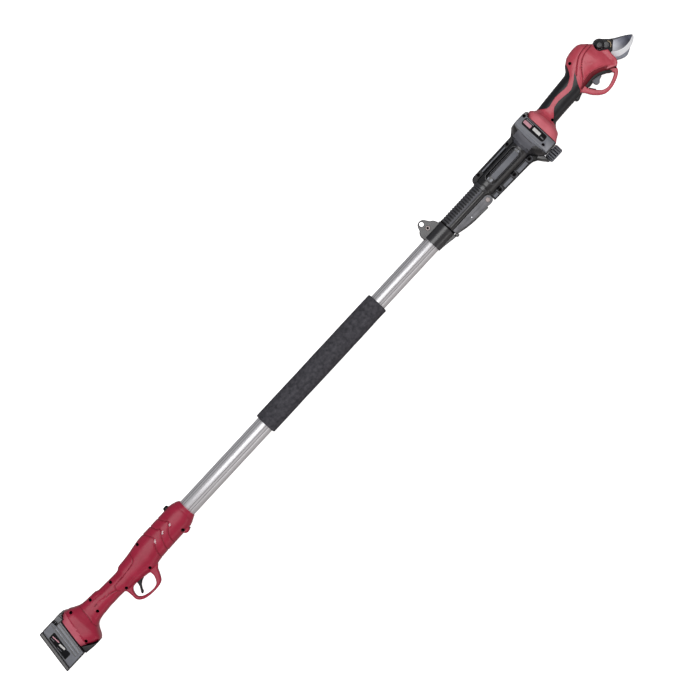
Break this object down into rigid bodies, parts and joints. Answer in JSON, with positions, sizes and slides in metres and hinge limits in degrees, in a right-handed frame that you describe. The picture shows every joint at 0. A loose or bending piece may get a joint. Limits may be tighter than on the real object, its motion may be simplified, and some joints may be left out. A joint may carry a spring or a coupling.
{
  "type": "telescoping pole pruning shear",
  "caption": "Cordless pruning shear on a telescoping aluminium pole, with a battery and trigger handle at the low end and a swinging blade at the top.",
  "frame": {"origin": "The middle of the footprint of the tool, on the surface that it lies on.", "axes": "+X runs along the pole from the battery to the blade, -Y is the side that both triggers face, +Z is square to the blade's plane and up when the tool lies on its side."},
  "size_m": [1.4307, 0.105, 0.074],
  "materials": {
    "red_shell": "moulded, satin",
    "black_shell": "moulded, fine texture",
    "grey_case": "moulded, satin",
    "black_rubber": "soft overmould",
    "foam": "closed-cell foam",
    "aluminium": "satin, drawn",
    "steel": "bright",
    "black_steel": "black oxide",
    "blade_steel": "ground and coated",
    "lever_metal": "grey coated",
    "brass": "turned",
    "label": "printed plate with plain patches",
    "board": "circuit board",
    "cell": "sleeved steel can",
    "grey_part": "moulded"
  },
  "bodies": {
    "handle": {"handle_front_shell": "red_shell", "handle_back_shell": "red_shell", "handle_screws": "black_steel", "foot_bumper": "black_shell", "terminal_block": "black_shell", "control_board": "board", "trigger_switch": "grey_part", "trigger_pin": "steel", "grip_trigger_spring": "steel", "cross_bolt": "black_steel", "cross_bolt_nut": "steel", "lower_tube": "aluminium", "guide_bush": "black_shell", "foam_grip": "foam"},
    "grip_trigger": {"grip_trigger": "black_shell"},
    "battery": {"battery_case": "grey_case", "battery_base": "black_shell", "battery_cells": "cell", "battery_terminals": "brass", "battery_screws": "black_steel", "battery_label": "label", "button_springs": "steel"},
    "battery_button": {"release_button": "grey_part"},
    "upper_pole": {"upper_tube": "aluminium", "inner_lock_plug": "black_shell", "clamp_collar": "black_shell", "collar_screw": "black_steel", "collar_nut": "steel", "ribbed_sleeve": "black_shell", "adapter_front_shell": "black_shell", "adapter_back_shell": "black_shell", "adapter_screws": "black_steel", "adapter_head": "grey_case", "adapter_label": "label", "adapter_contacts": "brass", "knob_insert": "brass", "shear_front_shell": "red_shell", "shear_back_shell": "red_shell", "upper_grip_pad": "black_rubber", "lower_grip_pad": "black_rubber", "shear_screws": "black_steel", "shear_motor": "steel", "gearbox": "aluminium", "drive_bearing": "steel", "shear_board": "board", "shear_switch": "grey_part", "shear_trigger_pin": "steel", "counter_blade": "blade_steel", "pivot_bolt": "black_steel", "pivot_nut": "black_steel", "pivot_washer": "steel", "pivot_cover": "black_shell"},
    "lock_lever": {"lever_plates": "lever_metal", "lever_core": "black_shell", "lever_rivet": "steel"},
    "clamp_knob": {"clamp_knob": "black_shell", "knob_stud": "steel"},
    "blade": {"cutting_blade": "blade_steel"},
    "pinion": {"drive_pinion": "steel"},
    "shear_trigger": {"shear_trigger": "grey_part"}
  },
  "joints": [
    {"name": "pole_slide", "type": "slide", "parent": "handle", "child": "upper_pole", "axis": [1, 0, 0], "range_m": [0, 0.4]},
    {"name": "grip_trigger_pull", "type": "hinge", "parent": "handle", "child": "grip_trigger", "pos_m": [-0.52, -0.01485, 0.037], "axis": [0, 0, -1], "range_deg": [0, 12], "stiffness_Nm_per_rad": 0.12, "springref_deg": -8.59, "deforming": ["grip_trigger_spring"]},
    {"name": "battery_slide", "type": "slide", "parent": "handle", "child": "battery", "axis": [0.1736, 0.9848, 0], "range_m": [0, 0.08]},
    {"name": "button_press", "type": "slide", "parent": "battery", "child": "battery_button", "axis": [-1, 0, 0], "range_m": [0, 0.004], "stiffness_N_per_m": 600, "springref_m": -0.002, "deforming": ["button_springs"]},
    {"name": "lever_open", "type": "hinge", "parent": "upper_pole", "child": "lock_lever", "pos_m": [0.344, -0.01525, 0.037], "axis": [0, 0, 1], "range_deg": [0, 75]},
    {"name": "knob_turn", "type": "hinge", "parent": "upper_pole", "child": "clamp_knob", "pos_m": [0.478, -0.04425, 0.037], "axis": [0, 1, 0], "continuous": true},
    {"name": "blade_swing", "type": "hinge", "parent": "upper_pole", "child": "blade", "pos_m": [0.663, 0.02375, 0.037], "axis": [0, 0, 1], "range_deg": [0, 45]},
    {"name": "pinion_spin", "type": "hinge", "parent": "upper_pole", "child": "pinion", "pos_m": [0.63551, 0.01375, 0.037], "axis": [0, 0, 1], "range_deg": [-150, 0]},
    {"name": "shear_trigger_pull", "type": "hinge", "parent": "upper_pole", "child": "shear_trigger", "pos_m": [0.6265, -0.00705, 0.037], "axis": [0, 0, -1], "range_deg": [0, 10], "stiffness_Nm_per_rad": 0.06, "springref_deg": -8.59}
  ],
  "couplings": [
    {"joint": "pinion_spin", "follows": "blade_swing", "ratio": -3.3333}
  ]
}
